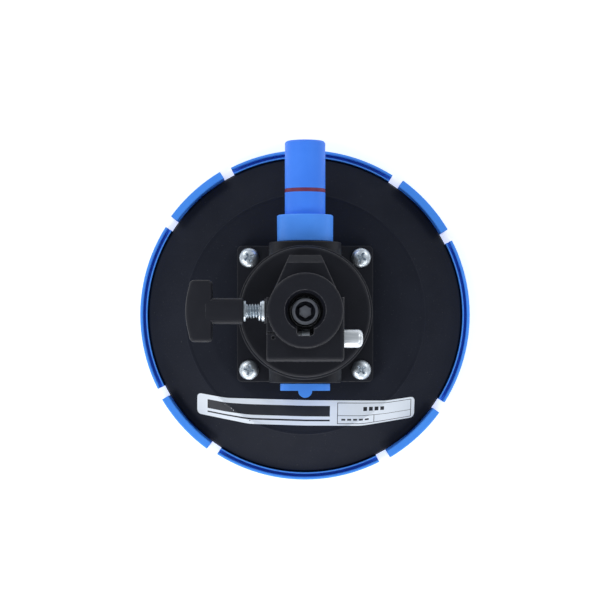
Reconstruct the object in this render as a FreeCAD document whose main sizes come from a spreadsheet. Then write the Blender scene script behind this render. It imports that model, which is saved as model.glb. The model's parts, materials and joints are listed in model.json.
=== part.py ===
import FreeCAD, Part
import math
import os
import re
import Sketcher

# A hand-pumped vacuum cup that carries a socket for a 16 mm lighting spigot, standing in its
# protective cover. Millimetres. The origin is on the cup's axis at the cover's underside, +Z is
# up along the socket, +Y is the way the plunger comes out, and -X is the side of the T-knob.
DIMENSIONS = {
    # protective cover
    "cover_radius": 79.3,
    "cover_floor": 1.8,
    "cover_wall": 1.4,
    "cover_wall_top": 9,
    "cover_lip_inner": 75.9,
    "cover_lip": 0.6,
    "cover_lip_top": 7.8,
    "cover_gutter": 3.4,
    "cover_edge": 0.6,
    "cover_round": 0.6,
    "groove_inner": 30,
    "groove_outer": 64,
    "groove_width": 1.6,
    "groove_depth": 0.6,
    "notch_inner": 75.2,
    "notch_angle": 4,
    "clip_count": 4,
    "clip_angle": 23,
    "clip_turn": 42.3,
    "clip_radius": 79.7,
    "clip_top": 13.6,
    "clip_wall": 1.7,
    "clip_hook": 1.7,
    "clip_round": 0.7,
    # rubber pad, and what is in it
    "pad_radius": 75.6,
    "pad_bottom": 2.1,
    "pad_lip_inner": 71,
    "pad_lip_rise": 1.2,
    "pad_seal_width": 1.6,
    "pad_edge": 0.35,
    "pad_band": 3,
    "pad_rim_top": 7.2,
    "pad_rim_lean": 0.9,
    "pad_ridge_radius": 57,
    "pad_ridge_height": 17.4,
    "pad_crown_radius": 46,
    "pad_top": 19,
    "pad_cavity_radius": 36,
    "pad_ceiling": 9,
    "backing_width": 60,
    "backing_low": 14,
    "gasket_low": 18,
    "port_radius": 2.5,
    "filter_radius": 9,
    "filter_low": 10,
    "filter_high": 12,
    "grille_low": 9.2,
    "grille_circle": 5.5,
    "grille_hole_radius": 1.1,
    # pump housing and base screws
    "plate_width": 64.6,
    "plate_thick": 5,
    "plate_corner": 2.5,
    "plate_round": 0.5,
    "base_screw_circle": 37.6,
    "base_screw_radius": 2.5,
    "base_head_radius": 4.7,
    "base_head_height": 3.3,
    "base_screw_length": 10,
    "base_screw_tip": 0.4,
    "cross_length": 5.2,
    "cross_width": 1.1,
    "cross_depth": 2,
    "pump_axis": 35,
    "tunnel_radius": 17,
    "tunnel_front": 33.3,
    "tunnel_rear": 32.6,
    "tunnel_round": 0.6,
    "air_channel_half": 2.5,
    "air_channel_top": 21,
    "turret_radius": 31,
    "turret_low": 50,
    "turret_top": 57,
    "turret_neck": 22,
    # pump
    "tube_radius": 11.5,
    "tube_bore": 10,
    "tube_rear": 24,
    "tube_wall": 3,
    "tube_front": 42,
    "tube_seal_rear": 28,
    "tube_seal_front": 30,
    "tube_seal_inner": 10.7,
    "collar_radius": 13.2,
    "collar_rear": 33.6,
    "collar_front": 46.1,
    "collar_edge": 0.5,
    "wiper_rear": 43.4,
    "wiper_front": 45.2,
    "wiper_radius": 11,
    "plunger_radius": 9.5,
    "plunger_end": 81.2,
    "plunger_dome": 1.6,
    "plunger_bore": 7,
    "plunger_bore_end": 62,
    "plunger_play": 0.08,
    "band_rear": 56.7,
    "band_front": 58.5,
    "band_inner": 9.1,
    "piston_rear": 7,
    "piston_front": 14,
    "piston_radius": 9.7,
    "seal_rear": 9,
    "seal_front": 12,
    "seal_inner": 8.1,
    "seal_outer": 9.93,
    "plunger_spring_radius": 5.6,
    "plunger_wire": 0.45,
    "plunger_turns": 12,
    "spring_seat_front": 19.6,
    "spring_seat_radius": 6.8,
    "inlet_rear": 19.6,
    "inlet_radius": 1.2,
    "valve_radius": 3.4,
    "valve_seat_top": 22.2,
    "valve_disc_radius": 2.8,
    "valve_disc_low": 22.3,
    "valve_disc_top": 23,
    # release lever
    "lever_half": 11.6,
    "lever_inner": 33,
    "lever_outer": 36.2,
    "lever_bottom": 25.2,
    "lever_top": 47,
    "lever_corner": 5,
    "tab_radius": 3.25,
    "tab_thick": 3,
    "hinge_rear": 30.3,
    "hinge_height": 27,
    "hinge_pin_radius": 1,
    "hinge_pin_half": 15,
    "hinge_play": 0.06,
    "knuckle_radius": 1.8,
    "knuckle_width": 4,
    "knuckle_inner": 6,
    "hinge_pocket_half": 12.1,
    "hinge_pocket_front": 28.1,
    "hinge_pocket_top": 29.4,
    "lever_spring_radius": 1.55,
    "lever_wire": 0.25,
    "lever_spring_half": 3,
    "lever_turns": 7,
    "vent_radius": 1,
    "vent_rear": 25.9,
    "plug_radius": 3,
    "plug_front": 32.75,
    "plug_rear": 34.8,
    # socket casting
    "flange_radius": 30,
    "flange_top": 62.5,
    "flange_round": 1.4,
    "block_half": 17.4,
    "block_rear": 22.6,
    "block_front": 6,
    "block_top": 87,
    "block_round_right": 1.6,
    "block_round_left": 0.8,
    "block_front_round": 2.1,
    "boss_radius": 16.8,
    "boss_top": 95,
    "boss_round": 1,
    "rib_front": 25.2,
    "rib_half": 7.05,
    "rib_root_half": 15.3,
    "rib_root": 6.9,
    "rib_top": 85,
    "rib_chamfer": 3.5,
    "rib_round": 0.6,
    "spot_radius": 5.6,
    "spot_end": 18.4,
    "slit_right": 13.5,
    "slit_rear": 9.9,
    "slit_width": 0.7,
    "slit_depth": 1,
    "dimple_right": 14.4,
    "dimple_rear": 12,
    "dimple_radius": 0.8,
    "bore_radius": 8.05,
    "bore_floor": 72.2,
    "bore_lead": 1.1,
    "bore_lead_depth": 2.6,
    "head_pocket_radius": 7,
    "head_pocket_floor": 63,
    "keyway_half": 3.75,
    "keyway_corner": 1.4,
    "keyway_rear": 11.2,
    "keyway_floor": 73.5,
    # socket bolt
    "bolt_radius": 4,
    "bolt_clear": 4.2,
    "bolt_head_radius": 6.5,
    "bolt_head_low": 64.2,
    "bolt_tip": 47,
    "bolt_key": 6,
    "bolt_key_depth": 4,
    "bolt_edge": 0.5,
    "bolt_washer_radius": 6.9,
    "nut_width": 13,
    "nut_low": 47,
    "nut_high": 53.5,
    # clamp screw and T-knob
    "clamp_axis": 79,
    "clamp_screw_radius": 3.2,
    "clamp_play": 0.07,
    "clamp_tip": 12.1,
    "clamp_edge": 0.5,
    "screw_collar_radius": 4.65,
    "screw_collar_rear": 27.9,
    "screw_collar_front": 26.7,
    "screw_anchor": 39,
    "bush_flange_radius": 4.65,
    "bush_flange_rear": 19.6,
    "bush_radius": 4.4,
    "bush_end": 15,
    "lock_washer_rear": 21,
    "lock_washer_radius": 4.3,
    "shoe_radius": 4.4,
    "shoe_rear": 12,
    "shoe_front": 8.3,
    "stem_radius": 5.85,
    "stem_rear": 41.8,
    "handle_rear": 53.8,
    "handle_half": 13.9,
    "handle_bulge": 37,
    "handle_half_thick": 5.6,
    "handle_corner": 2.4,
    "handle_round": 1.5,
    # safety pin
    "pin_offset": 12.35,
    "pin_radius": 4.1,
    "pin_play": 0.07,
    "pin_rear": 7.8,
    "neck_rear": 3.9,
    "neck_front": 1.8,
    "neck_radius": 3.3,
    "waist_rear": 2.2,
    "waist_front": 10.2,
    "waist_radius": 2.1,
    "pin_end": 26,
    "pin_dome": 1.2,
    "pin_recess_radius": 2.9,
    "pin_recess_end": 4.4,
    "pin_hole_rear": 14,
    "pin_spring_radius": 2.2,
    "pin_wire": 0.25,
    "pin_turns": 7,
    "stop_right": 3.25,
    "stop_rear": 15.6,
    "stop_radius": 0.95,
    "stop_top": 83,
    # label
    "label_half": 52,
    "label_right": 1.15,
    "label_turn": -1,
    "label_corner": 2,
    "upper_middle": 41,
    "upper_bend_across": 38,
    "upper_bend": 40.6,
    "upper_end": 38.4,
    "lower_middle": 53.1,
    "lower_bend_across": 27,
    "lower_bend": 52.75,
    "lower_end": 48.3,
    "label_blanket_inner": 30,
    "label_gap": 0.05,
    "label_thick": 0.2,
}

UP = FreeCAD.Vector(0, 0, 1)
RIGHT = FreeCAD.Vector(1, 0, 0)
FORWARD = FreeCAD.Vector(0, 1, 0)
ORIGIN = ("0", "0", "0")
TOUCH = 0.01
AXIS_LENGTH = 20
GRILLE_HOLES = 8
# shares of a screw head's radius and height where its dome bends
HEAD_DOME = ((1, 0.55), (0.8, 0.85), (0.4, 1))

document = FreeCAD.newDocument("SuctionCupMount")
sheet = document.addObject("Spreadsheet::Sheet", "Dims")
for row, (alias, value) in enumerate(DIMENSIONS.items(), 1):
    sheet.set(f"A{row}", alias)
    sheet.set(f"B{row}", str(value))
    sheet.setAlias(f"B{row}", alias)
document.recompute()


def size(alias):
    """A driving dimension as a number, read from the sheet."""
    return float(sheet.get(alias))


def formula(text):
    """Put the sheet's name in front of each alias in a formula."""
    return re.sub(r"[a-z]\w*", lambda word: "Dims." + word.group(), text)


def bind(thing, **sizes):
    """Bind each named property to a formula of the sheet's aliases."""
    for name, text in sizes.items():
        thing.setExpression(name, formula(text))


def put(thing, place, towards=UP):
    """Turn a thing's Z axis to a direction and bind its position to three formulas."""
    thing.Placement = FreeCAD.Placement(FreeCAD.Vector(), FreeCAD.Rotation(UP, towards))
    for axis, text in zip("xyz", place):
        thing.setExpression("Placement.Base." + axis, formula(text))


def new_body(label, place=ORIGIN, towards=UP):
    """A named body whose local Z axis points in a direction."""
    body = document.addObject("PartDesign::Body", label)
    body.Label = label
    put(body, place, towards)
    return body


def sketch_on(body, name, role):
    """An empty sketch on one of the body's own origin planes."""
    plane = next(item for item in body.Origin.OriginFeatures if item.Role == role)
    sketch = body.newObject("Sketcher::SketchObject", name)
    sketch.AttachmentSupport = [(plane, "")]
    sketch.MapMode = "FlatFace"
    return sketch


def hold(sketch, geometry, position, corner, start):
    """Hold one point of a sketch at two formulas, measured from the sketch's origin."""
    for kind, text, value in zip(("DistanceX", "DistanceY"), corner, start):
        index = sketch.addConstraint(Sketcher.Constraint(kind, -1, 1, geometry, position, value))
        sketch.setExpression(f"Constraints[{index}]", formula(text))


def outline(body, name, corners, role="XZ_Plane", axis=None):
    """A closed outline through corners given as formulas, and the upright axis line if it has one."""
    sketch = sketch_on(body, name, role)
    count = len(corners)
    turn = 2 * math.pi / count
    starts = [(50 * math.cos(turn * i), 50 * math.sin(turn * i)) for i in range(count)]
    for i in range(count):
        ends = [FreeCAD.Vector(*starts[k % count], 0) for k in (i, i + 1)]
        sketch.addGeometry(Part.LineSegment(*ends), False)
    for i in range(count):
        sketch.addConstraint(Sketcher.Constraint("Coincident", i, 2, (i + 1) % count, 1))
    for i, corner in enumerate(corners):
        hold(sketch, i, 1, corner, starts[i])
    if axis:
        line = Part.LineSegment(FreeCAD.Vector(5, 0, 0), FreeCAD.Vector(5, AXIS_LENGTH, 0))
        sketch.addGeometry(line, True)
        hold(sketch, count, 1, (axis, "0"), (5, 1))
        hold(sketch, count, 2, (axis, str(AXIS_LENGTH)), (5, AXIS_LENGTH))
    return sketch


def turn_about(body, name, sketch, axis="V_Axis", cut=False):
    """Revolve or groove a sketch about its own upright axis."""
    kind = "PartDesign::Groove" if cut else "PartDesign::Revolution"
    feature = body.newObject(kind, name)
    feature.Profile = sketch
    feature.ReferenceAxis = (sketch, [axis])
    feature.Angle = 360
    return feature


def turned(label, corners, place=ORIGIN, towards=UP):
    """A body turned about its local Z axis from corners given as (radius, height) formulas."""
    body = new_body(label, place, towards)
    turn_about(body, label + "_turn", outline(body, label + "_outline", corners))
    return body


def ring(label, inner, outer, low, high, place=ORIGIN, towards=UP):
    """A plain ring or, with an inner radius of 0, a disc."""
    corners = [(inner, low), (outer, low), (outer, high), (inner, high)]
    return turned(label, corners, place, towards)


def cylinder(body, name, radius, length, place, towards=UP, cut=False):
    """Add or cut a cylinder that starts at a place and runs along a direction."""
    kind = "SubtractiveCylinder" if cut else "AdditiveCylinder"
    feature = body.newObject("PartDesign::" + kind, name)
    bind(feature, Radius=radius, Height=length)
    put(feature, place, towards)
    return feature


def drill(body, name, radius, length, place, towards=UP):
    """Cut a round hole."""
    return cylinder(body, name, radius, length, place, towards, cut=True)


def box(body, name, low, high, cut=False):
    """Add or cut a box between two corners, each three formulas."""
    kind = "SubtractiveBox" if cut else "AdditiveBox"
    feature = body.newObject("PartDesign::" + kind, name)
    spans = [f"({top}) - ({bottom})" for bottom, top in zip(low, high)]
    bind(feature, Length=spans[0], Width=spans[1], Height=spans[2])
    put(feature, low)
    return feature


def extrude(body, name, sketch, length, low):
    """Pad a sketch of the XY plane from a height upwards."""
    sketch.setExpression("AttachmentOffset.Base.z", formula(low))
    feature = body.newObject("PartDesign::Pad", name)
    feature.Profile = sketch
    bind(feature, Length=length)
    return feature


def hexagon(body, name, width, depth, low, cut):
    """Add or cut a hexagonal prism on the body's axis, from a height upwards."""
    kind = "SubtractivePrism" if cut else "AdditivePrism"
    feature = body.newObject("PartDesign::" + kind, name)
    feature.Polygon = 6
    bind(feature, Circumradius=f"{width} / {math.sqrt(3):.6f}", Height=depth)
    put(feature, ("0", "0", low))
    return feature


def dress(body, name, radius, wanted, kind="Fillet"):
    """Fillet or chamfer the edges of the body's tip that a test picks."""
    document.recompute()
    base = body.Tip
    edges = [f"Edge{i}" for i, edge in enumerate(base.Shape.Edges, 1) if wanted(edge)]
    if not edges:
        raise RuntimeError("no edge to dress for " + name)
    feature = body.newObject("PartDesign::" + kind, name)
    feature.Base = (base, edges)
    bind(feature, **{"Radius" if kind == "Fillet" else "Size": radius})
    return feature


def curve_of(edge):
    """An edge's curve, or None where it is of no named kind."""
    try:
        return edge.Curve
    except TypeError:
        return None


def is_along(edge, axis):
    """Whether an edge is straight and along an axis."""
    curve = curve_of(edge)
    return isinstance(curve, Part.Line) and abs(curve.Direction.dot(axis)) > 0.999


def is_upright(edge):
    """Whether an edge is straight and along Z."""
    return is_along(edge, UP)


def is_rim(edge, height, radius):
    """Whether an edge is an arc about the Z axis at a height with a radius."""
    curve = curve_of(edge)
    return (isinstance(curve, Part.Circle) and abs(curve.Radius - radius) < TOUCH
            and abs(curve.Center.z - height) < TOUCH and math.hypot(curve.Center.x, curve.Center.y) < TOUCH)


def repeat(body, name, feature, count):
    """Repeat a feature round the body's Z axis."""
    axis = next(item for item in body.Origin.OriginFeatures if item.Role == "Z_Axis")
    pattern = body.newObject("PartDesign::PolarPattern", name)
    pattern.Originals = [feature]
    pattern.Axis = (axis, [""])
    pattern.Angle = 360
    bind(pattern, Occurrences=count)
    body.Tip = pattern


def spring(label, radius, wire, start, length, turns, place, towards):
    """A round-wire coil spring about the local Z axis, its ends at start and start + length."""
    body = new_body(label, place, towards)
    section = sketch_on(body, label + "_wire", "XZ_Plane")
    section.addGeometry(Part.Circle(FreeCAD.Vector(5, 1, 0), UP, 1), False)
    hold(section, 0, 3, (radius, f"{start} + {wire}"), (5, 1))
    index = section.addConstraint(Sketcher.Constraint("Radius", 0, 1))
    section.setExpression(f"Constraints[{index}]", formula(wire))
    coil = body.newObject("PartDesign::AdditiveHelix", label + "_coil")
    coil.Profile = section
    coil.ReferenceAxis = (section, ["V_Axis"])
    coil.Mode = "height-turns-angle"
    bind(coil, Height=f"{length} - 2 * {wire}", Turns=turns)
    return body


def make_cover():
    """The cover: a floor with a double-walled rim, cut into four arcs by four raised clips."""
    grooves = [(f"{start} + {step} * groove_width", depth)
               for start in ("groove_inner", "groove_outer")
               for step, depth in ((0, "0"), (0, "groove_depth"), (1, "groove_depth"), (1, "0"))]
    body = turned("protective_cover", [
        ("0", "0"),
        *grooves,
        ("cover_radius - cover_edge", "0"),
        ("cover_radius", "cover_edge"),
        ("cover_radius", "cover_wall_top"),
        ("cover_radius - cover_wall", "cover_wall_top"),
        ("cover_radius - cover_wall", "cover_gutter"),
        ("cover_lip_inner + cover_lip", "cover_gutter"),
        ("cover_lip_inner + cover_lip", "cover_lip_top"),
        ("cover_lip_inner", "cover_lip_top"),
        ("cover_lip_inner", "cover_floor"),
        ("0", "cover_floor")])
    rims = ((size("cover_radius"), size("cover_wall_top")),
            (size("cover_radius") - size("cover_wall"), size("cover_wall_top")))
    dress(body, "wall_rounding", "cover_round",
          lambda edge: any(is_rim(edge, height, radius) for radius, height in rims))
    body.Placement = FreeCAD.Placement(FreeCAD.Vector(), FreeCAD.Rotation(UP, size("clip_turn")))
    gap = turn_about(body, "clip_gap", outline(body, "clip_gap_outline", [
        ("notch_inner", "-1"),
        ("notch_inner + 10", "-1"),
        ("notch_inner + 10", "cover_wall_top + 1"),
        ("notch_inner", "cover_wall_top + 1")]), cut=True)
    gap.Midplane = True
    bind(gap, Angle="clip_angle + 2 * notch_angle")
    repeat(body, "clip_gaps", gap, "clip_count")
    clip = turn_about(body, "clip", outline(body, "clip_outline", [
        ("notch_inner - 1", "0"),
        ("clip_radius - cover_edge", "0"),
        ("clip_radius", "cover_edge"),
        ("clip_radius", "clip_top"),
        ("cover_lip_inner", "clip_top"),
        ("cover_lip_inner", "clip_top - clip_hook"),
        ("clip_radius - clip_wall", "clip_top - 2 * clip_hook"),
        ("clip_radius - clip_wall", "cover_floor"),
        ("notch_inner - 1", "cover_floor")]))
    clip.Midplane = True
    bind(clip, Angle="clip_angle")
    repeat(body, "clips", clip, "clip_count")
    top = size("clip_top")
    radii = (size("clip_radius"), size("cover_lip_inner"))
    dress(body, "clip_rounding", "clip_round",
          lambda edge: any(is_rim(edge, top, radius) for radius in radii))


def make_pad():
    """The rubber pad with its steel backing plate, gasket, air filter and filter grille."""
    half = "backing_width / 2"
    pad = turned("rubber_pad", [
        ("0", "pad_ceiling"),
        ("pad_cavity_radius", "pad_ceiling"),
        ("pad_lip_inner", "pad_bottom + pad_lip_rise"),
        ("pad_radius - pad_seal_width", "pad_bottom"),
        ("pad_radius - pad_edge", "pad_bottom + pad_edge"),
        ("pad_radius", "pad_bottom + pad_lip_rise"),
        ("pad_radius", "pad_bottom + pad_band"),
        ("pad_radius - pad_rim_lean", "pad_rim_top"),
        ("pad_ridge_radius", "pad_ridge_height"),
        ("pad_crown_radius", "pad_top"),
        ("0", "pad_top")])
    box(pad, "backing_recess", ("-" + half, "-" + half, "backing_low"), (half, half, "pad_top + 1"), cut=True)
    drill(pad, "pad_port", "port_radius", "pad_top", ORIGIN)
    drill(pad, "filter_recess", "filter_radius", "filter_high - pad_ceiling + 1",
          ("0", "0", "pad_ceiling - 1"))
    for label, low, high in (("backing_plate", "backing_low", "gasket_low"),
                             ("pad_gasket", "gasket_low", "pad_top")):
        body = new_body(label)
        box(body, label + "_sheet", ("-" + half, "-" + half, low), (half, half, high))
        drill(body, label + "_port", "port_radius", "pad_top", ("0", "0", "backing_low - 1"))
        drill_base_screws(body, "base_screw_radius", low, high)
    ring("air_filter", "0", "filter_radius", "filter_low", "filter_high")
    grille = ring("filter_grille", "0", "filter_radius", "grille_low", "filter_low")
    for i in range(GRILLE_HOLES):
        turn = 2 * math.pi * i / GRILLE_HOLES
        across, along = (f"grille_circle * {part(turn):.5f}" for part in (math.cos, math.sin))
        drill(grille, f"grille_hole_{i}", "grille_hole_radius", "filter_high - grille_low",
              (across, along, "pad_ceiling - 1"))


def drill_base_screws(body, radius, low, high):
    """The four holes for the base screws, at the corners of a square."""
    side = f"base_screw_circle * {math.sqrt(0.5):.5f}"
    for i, across in enumerate((side, "-" + side)):
        for j, along in enumerate((side, "-" + side)):
            drill(body, f"{body.Name}_hole_{i}_{j}", radius, f"({high}) - ({low}) + 2",
                  (across, along, f"({low}) - 1"))


def make_housing():
    """The pump housing: a square plate, an arched tunnel for the pump and a round turret."""
    body = new_body("pump_housing")
    half = "plate_width / 2"
    deck = "pad_top + plate_thick"
    box(body, "plate", ("-" + half, "-" + half, "pad_top"), (half, half, deck))
    dress(body, "plate_corners", "plate_corner", is_upright)
    high = size("pad_top") + size("plate_thick")
    dress(body, "plate_rounding", "plate_round", lambda edge: edge.BoundBox.ZMin > high - TOUCH)
    box(body, "tunnel_walls", ("-tunnel_radius", "-tunnel_rear", deck),
        ("tunnel_radius", "tunnel_front", "pump_axis"))
    cylinder(body, "tunnel_arch", "tunnel_radius", "tunnel_rear + tunnel_front",
             ("0", "-tunnel_rear", "pump_axis"), FORWARD)
    front, rear = size("tunnel_front"), -size("tunnel_rear")
    dress(body, "tunnel_rounding", "tunnel_round",
          lambda edge: isinstance(curve_of(edge), Part.Circle) and edge.BoundBox.YLength < TOUCH
          and (edge.BoundBox.YMin > front - TOUCH or edge.BoundBox.YMax < rear + TOUCH)
          and edge.BoundBox.ZMax > high + size("tunnel_radius"))
    box(body, "flat_base", ("-" + half, "-plate_width", "pad_top - plate_thick"),
        (half, "plate_width", "pad_top"), cut=True)
    turn_about(body, "turret", outline(body, "turret_outline", [
        ("0", deck),
        ("turret_neck", deck),
        ("turret_neck", "pump_axis"),
        ("turret_radius", "turret_low"),
        ("turret_radius", "turret_top"),
        ("0", "turret_top")]))
    rim, radius = size("turret_top"), size("turret_radius")
    dress(body, "turret_rounding", "flange_round / 2", lambda edge: is_rim(edge, rim, radius))
    drill(body, "tube_hole", "tube_radius", "tube_rear + tunnel_front + 1",
          ("0", "-tube_rear", "pump_axis"), FORWARD)
    hexagon(body, "nut_pocket", "nut_width", "nut_high - pump_axis", "pump_axis", cut=True)
    drill(body, "bolt_hole", "bolt_clear", "turret_top - pump_axis + 1", ("0", "0", "pump_axis"))
    drill_base_screws(body, "base_screw_radius + 0.1", "pad_top", deck)
    box(body, "hinge_pocket", ("-hinge_pocket_half", "-tunnel_rear - 1", deck),
        ("hinge_pocket_half", "-hinge_pocket_front", "hinge_pocket_top"), cut=True)
    drill(body, "hinge_hole", "hinge_pin_radius", "2 * hinge_pin_half",
          ("-hinge_pin_half", "-hinge_rear", "hinge_height"), RIGHT)
    box(body, "air_channel", ("-air_channel_half", "-vent_rear - vent_radius", "pad_top - 1"),
        ("air_channel_half", "air_channel_half", "air_channel_top"), cut=True)
    drill(body, "valve_hole", "valve_radius", "pump_axis - pad_top", ("0", "-inlet_rear", "pad_top"))
    drill(body, "vent_riser", "vent_radius", "pump_axis - pad_top", ("0", "-vent_rear", "pad_top"))
    drill(body, "vent_mouth", "vent_radius", "tunnel_rear - vent_rear + 1",
          ("0", "-vent_rear", "pump_axis"), -FORWARD)


def make_base_screws():
    """Four cross-recessed pan-head screws that hold the housing to the backing plate."""
    body = new_body("base_screws")
    body.Placement = FreeCAD.Placement(FreeCAD.Vector(), FreeCAD.Rotation(UP, 45))
    seat = "pad_top + plate_thick"
    crown = seat + " + base_head_height"
    middle = "base_screw_circle"
    dome = [(f"{middle} + base_head_radius * {out}", f"{seat} + base_head_height * {up}")
            for out, up in HEAD_DOME]
    screw = turn_about(body, "screw", outline(body, "screw_outline", [
        (middle, f"{seat} - base_screw_length"),
        (f"{middle} + base_screw_radius - base_screw_tip", f"{seat} - base_screw_length"),
        (f"{middle} + base_screw_radius", f"{seat} - base_screw_length + base_screw_tip"),
        (f"{middle} + base_screw_radius", seat),
        (f"{middle} + base_head_radius", seat),
        *dome,
        (middle, crown)], axis=middle), axis="Axis0")
    repeat(body, "screws", screw, "4")
    long, narrow = "cross_length / 2", "cross_width / 2"
    for i, (right, front) in enumerate(((1, 0), (0, 1), (-1, 0), (0, -1))):
        for name, across, along in ((f"cross_a_{i}", long, narrow), (f"cross_b_{i}", narrow, long)):
            x, y = f"{right} * {middle}", f"{front} * {middle}"
            low = (f"{x} - {across}", f"{y} - {along}", f"{crown} - cross_depth")
            high = (f"{x} + {across}", f"{y} + {along}", f"{crown} + 1")
            box(body, name, low, high, cut=True)


def make_casting():
    """The socket: a flange, a block with the cross holes, a round boss and a tapering rib."""
    body = new_body("socket_casting")
    cylinder(body, "flange", "flange_radius", "flange_top - turret_top", ("0", "0", "turret_top"))
    top, radius = size("flange_top"), size("flange_radius")
    dress(body, "flange_rounding", "flange_round", lambda edge: is_rim(edge, top, radius))
    box(body, "block", ("-block_half", "-block_rear", "turret_top + 1"),
        ("block_half", "block_front", "block_top"))
    rear, high = -size("block_rear"), size("block_top")
    dress(body, "block_front_rounding", "block_front_round",
          lambda edge: edge.BoundBox.ZMin > high - TOUCH and edge.BoundBox.YMax < rear + TOUCH)
    for side, sign in (("right", 1), ("left", -1)):
        face = sign * size("block_half")
        dress(body, f"block_{side}_rounding", f"block_round_{side}",
              lambda edge: edge.BoundBox.XLength < TOUCH and abs(edge.CenterOfMass.x - face) < TOUCH
              and (edge.CenterOfMass.y < rear + 2 or edge.BoundBox.ZMin > high - TOUCH))
    cylinder(body, "spot", "spot_radius", "spot_end - block_half + 1", ("-spot_end", "0", "clamp_axis"),
             RIGHT)
    extrude(body, "rib", outline(body, "rib_outline", [
        ("-rib_root_half", "rib_root"),
        ("rib_root_half", "rib_root"),
        ("rib_half", "rib_front"),
        ("-rib_half", "rib_front")], role="XY_Plane"), "rib_top - turret_top - 1", "turret_top + 1")
    front, crest = size("rib_front"), size("rib_top")
    dress(body, "rib_slope", "rib_chamfer",
          lambda edge: edge.CenterOfMass.y > front - TOUCH and edge.BoundBox.ZMin > crest - TOUCH, "Chamfer")
    dress(body, "rib_rounding", "rib_round",
          lambda edge: edge.BoundBox.ZMin > crest - TOUCH and edge.BoundBox.YLength > 3)
    cylinder(body, "boss", "boss_radius", "boss_top - turret_top - 1", ("0", "0", "turret_top + 1"))
    peak, boss = size("boss_top"), size("boss_radius")
    dress(body, "boss_rounding", "boss_round", lambda edge: is_rim(edge, peak, boss))
    drill(body, "bore", "bore_radius", "boss_top - bore_floor + 1", ("0", "0", "bore_floor"))
    turn_about(body, "bore_lead", outline(body, "bore_lead_outline", [
        ("0", "boss_top - bore_lead_depth"),
        ("bore_radius", "boss_top - bore_lead_depth"),
        ("bore_radius + bore_lead", "boss_top"),
        ("bore_radius + bore_lead", "boss_top + 1"),
        ("0", "boss_top + 1")]), cut=True)
    drill(body, "head_pocket", "head_pocket_radius", "bore_floor - head_pocket_floor + 1",
          ("0", "0", "head_pocket_floor"))
    drill(body, "bolt_way", "bolt_clear", "bore_floor - turret_top + 2", ("0", "0", "turret_top - 1"))
    box(body, "keyway", ("-keyway_half", "-keyway_rear", "keyway_floor"),
        ("keyway_half", "0", "boss_top + 1"), cut=True)
    dress(body, "keyway_corners", "keyway_corner",
          lambda edge: is_upright(edge) and abs(edge.CenterOfMass.y + size("keyway_rear")) < TOUCH)
    box(body, "slit", ("-block_half - 1", "-slit_rear - slit_width / 2", "block_top - slit_depth"),
        ("-slit_right", "slit_width / 2 - slit_rear", "block_top + 1"), cut=True)
    drill(body, "dimple", "dimple_radius", "slit_depth + 1",
          ("-dimple_right", "-dimple_rear", "block_top - slit_depth"))
    drill(body, "pin_hole", "pin_radius + pin_play", "pin_hole_rear + block_half + 1",
          ("-pin_hole_rear", "-pin_offset", "clamp_axis"), RIGHT)
    drill(body, "shoe_hole", "shoe_radius + clamp_play", "spot_end + 1",
          ("-spot_end - 1", "0", "clamp_axis"), RIGHT)
    drill(body, "stop_hole", "stop_radius", "stop_top - turret_top",
          ("stop_right", "-stop_rear", "turret_top"))


def make_bolt():
    """The socket-head screw that ties the casting to the housing, its washer and its nut."""
    head_top = "bore_floor"
    bolt = turned("socket_bolt", [
        ("0", "bolt_tip"),
        ("bolt_radius - bolt_edge", "bolt_tip"),
        ("bolt_radius", "bolt_tip + bolt_edge"),
        ("bolt_radius", "bolt_head_low"),
        ("bolt_head_radius", "bolt_head_low"),
        ("bolt_head_radius", f"{head_top} - bolt_edge"),
        ("bolt_head_radius - bolt_edge", head_top),
        ("0", head_top)])
    hexagon(bolt, "key_recess", "bolt_key", "bolt_key_depth + 1", f"{head_top} - bolt_key_depth", cut=True)
    ring("bolt_washer", "bolt_clear", "bolt_washer_radius", "head_pocket_floor", "bolt_head_low")
    nut = new_body("socket_nut")
    hexagon(nut, "nut_prism", "nut_width", "nut_high - nut_low", "nut_low", cut=False)
    drill(nut, "nut_thread", "bolt_radius", "nut_high - pump_axis + 1", ("0", "0", "pump_axis"))


def make_clamp():
    """The clamp: T-knob on a screw, threaded bush, lock washer and the shoe that grips the spigot."""
    axis = ("0", "0", "clamp_axis")
    inner = "clamp_screw_radius + clamp_play"
    turned("thread_bush", [
        (inner, "-bush_flange_rear"),
        ("bush_flange_radius", "-bush_flange_rear"),
        ("bush_flange_radius", "-spot_end"),
        ("bush_radius", "-spot_end"),
        ("bush_radius", "-bush_end"),
        (inner, "-bush_end")], axis, RIGHT)
    ring("lock_washer", inner, "lock_washer_radius", "-lock_washer_rear", "-bush_flange_rear", axis, RIGHT)
    ring("clamp_shoe", "0", "shoe_radius", "-shoe_rear", "-shoe_front", axis, RIGHT)
    turned("clamp_screw", [
        ("0", "-screw_anchor"),
        ("clamp_screw_radius", "-screw_anchor"),
        ("clamp_screw_radius", "-screw_collar_rear"),
        ("screw_collar_radius", "-screw_collar_rear"),
        ("screw_collar_radius", "-screw_collar_front"),
        ("clamp_screw_radius", "-screw_collar_front"),
        ("clamp_screw_radius", "-clamp_tip - clamp_edge"),
        ("clamp_screw_radius - clamp_edge", "-clamp_tip"),
        ("0", "-clamp_tip")], axis, RIGHT)


def primitive(kind, name, place, towards=UP, **sizes):
    """A Part primitive bound to the sheet."""
    thing = document.addObject("Part::" + kind, name)
    bind(thing, **sizes)
    put(thing, place, towards)
    return thing


def combine(kind, name, base, tool):
    """A boolean of two objects."""
    result = document.addObject("Part::" + kind, name)
    result.Base = base
    result.Tool = tool
    return result


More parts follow.
